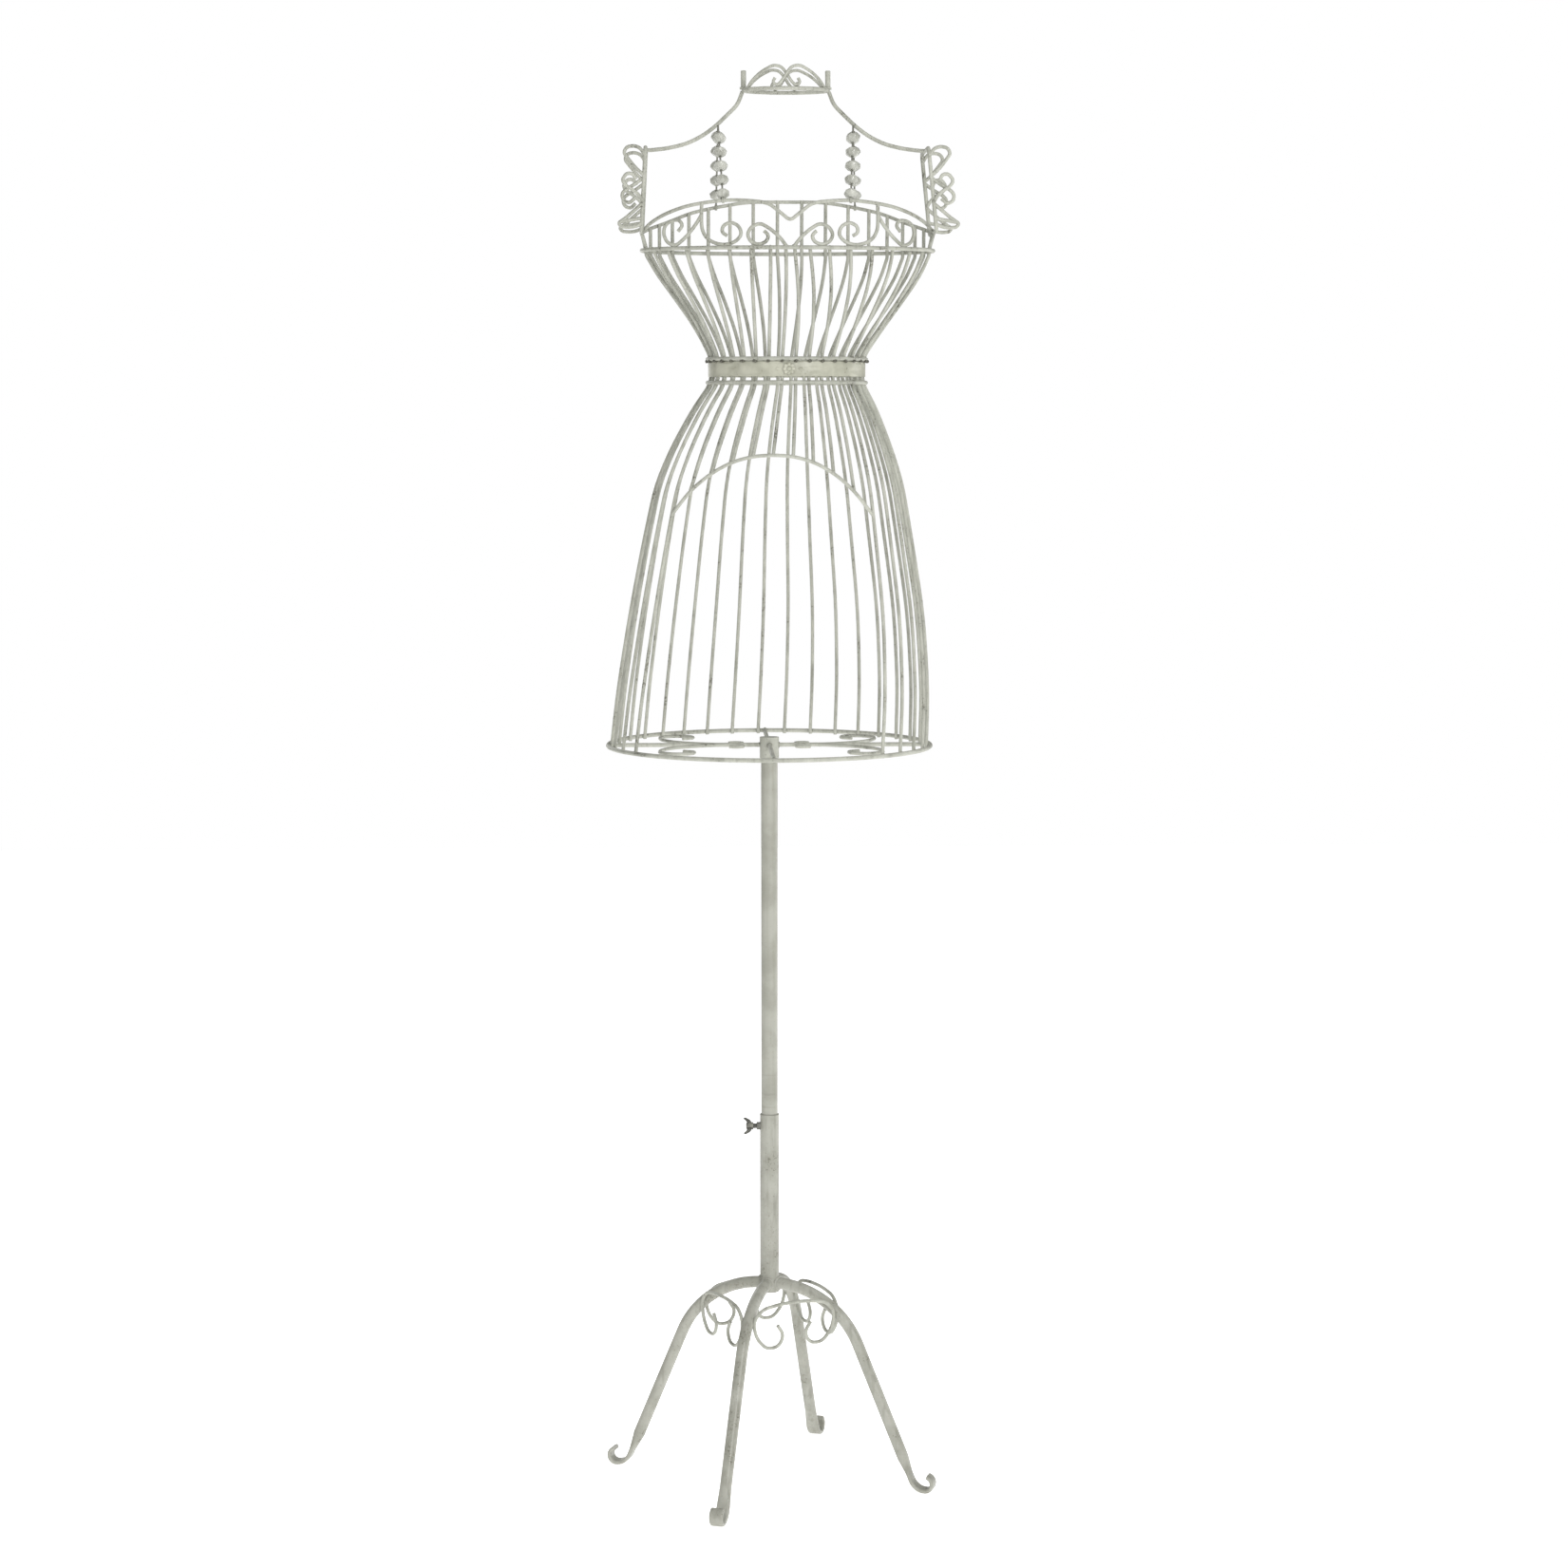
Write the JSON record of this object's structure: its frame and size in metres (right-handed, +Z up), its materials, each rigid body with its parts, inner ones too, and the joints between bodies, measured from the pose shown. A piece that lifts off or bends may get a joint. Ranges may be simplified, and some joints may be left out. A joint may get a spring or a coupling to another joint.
{
  "type": "wire dress form mannequin",
  "caption": "Open wire dress form with a bell skirt cage, belted waist, scrolled bust and shoulders, bead straps and a crown at the neck, on a telescopic pole with curled legs.",
  "frame": {"origin": "on the floor, on the axis of the stand", "axes": "+Z up the pole, -Y out of the front of the form, +X to the right seen from the front"},
  "size_m": [0.4039, 0.383, 1.6329],
  "materials": {
    "frame_paint": "antique off-white paint, rubbed at the edges",
    "stand_paint": "antique off-white paint, satin",
    "belt_paint": "antique off-white paint on flat band",
    "clamp_zinc": "dull zinc with paint overspray",
    "plug_plastic": "moulded, matt",
    "strap_steel": "painted thin wire",
    "bead_acrylic": "faceted bead, painted antique off-white, pearly"
  },
  "bodies": {
    "base": {"clamp_nut": "clamp_zinc", "leg_back": "stand_paint", "leg_front": "stand_paint", "leg_left": "stand_paint", "leg_right": "stand_paint", "lower_tube": "stand_paint", "stand_scroll_back_left": "frame_paint", "stand_scroll_front_right": "frame_paint", "stand_scroll_left_front": "frame_paint", "stand_scroll_right_back": "frame_paint"},
    "pole": {"upper_pole": "stand_paint", "pole_top_plug": "plug_plastic"},
    "torso": {"armhole_left": "frame_paint", "armhole_right": "frame_paint", "back_neckline": "frame_paint", "belt_rivets": "belt_paint", "belt_rosette": "belt_paint", "bust_ring": "frame_paint", "bust_scrolls_left": "frame_paint", "bust_scrolls_right": "frame_paint", "crown_scrolls_back": "frame_paint", "crown_scrolls_front": "frame_paint", "front_neckline": "frame_paint", "hem_ring": "frame_paint", "hem_scrolls": "frame_paint", "hem_spokes": "frame_paint", "hub_socket": "stand_paint", "neck_post_left": "frame_paint", "neck_post_right": "frame_paint", "neck_ring": "frame_paint", "ribs_back": "frame_paint", "ribs_front": "frame_paint", "ribs_left": "frame_paint", "ribs_right": "frame_paint", "shoulder_scrolls_left_back": "frame_paint", "shoulder_scrolls_left_front": "frame_paint", "shoulder_scrolls_right_back": "frame_paint", "shoulder_scrolls_right_front": "frame_paint", "shoulder_wire_left": "frame_paint", "shoulder_wire_right": "frame_paint", "skirt_arch": "frame_paint", "strap_beads_left_back": "bead_acrylic", "strap_beads_left_front": "bead_acrylic", "strap_beads_right_back": "bead_acrylic", "strap_beads_right_front": "bead_acrylic", "strap_wire_left_back": "strap_steel", "strap_wire_left_front": "strap_steel", "strap_wire_right_back": "strap_steel", "strap_wire_right_front": "strap_steel", "waist_belt": "belt_paint", "waist_ring_lower": "frame_paint", "waist_ring_upper": "frame_paint"},
    "clamp_screw": {"clamp_screw": "clamp_zinc"},
    "wing_head": {"wing_head": "clamp_zinc"}
  },
  "joints": [
    {"name": "height_slide", "type": "slide", "parent": "base", "child": "pole", "axis": [0, 0, 1], "range_m": [-0.06, 0.08]},
    {"name": "torso_swivel", "type": "hinge", "parent": "pole", "child": "torso", "pos_m": [0, 0, 0.865], "axis": [0, 0, 1], "continuous": true},
    {"name": "clamp_travel", "type": "slide", "parent": "base", "child": "clamp_screw", "axis": [-1, 0, 0], "range_m": [0, 0.002]},
    {"name": "wing_turn", "type": "hinge", "parent": "clamp_screw", "child": "wing_head", "pos_m": [-0.022, 0, 0.42], "axis": [-1, 0, 0], "range_deg": [0, 720.5]}
  ],
  "couplings": [
    {"joint": "wing_turn", "follows": "clamp_travel", "rad_per_m": 6283.2}
  ]
}
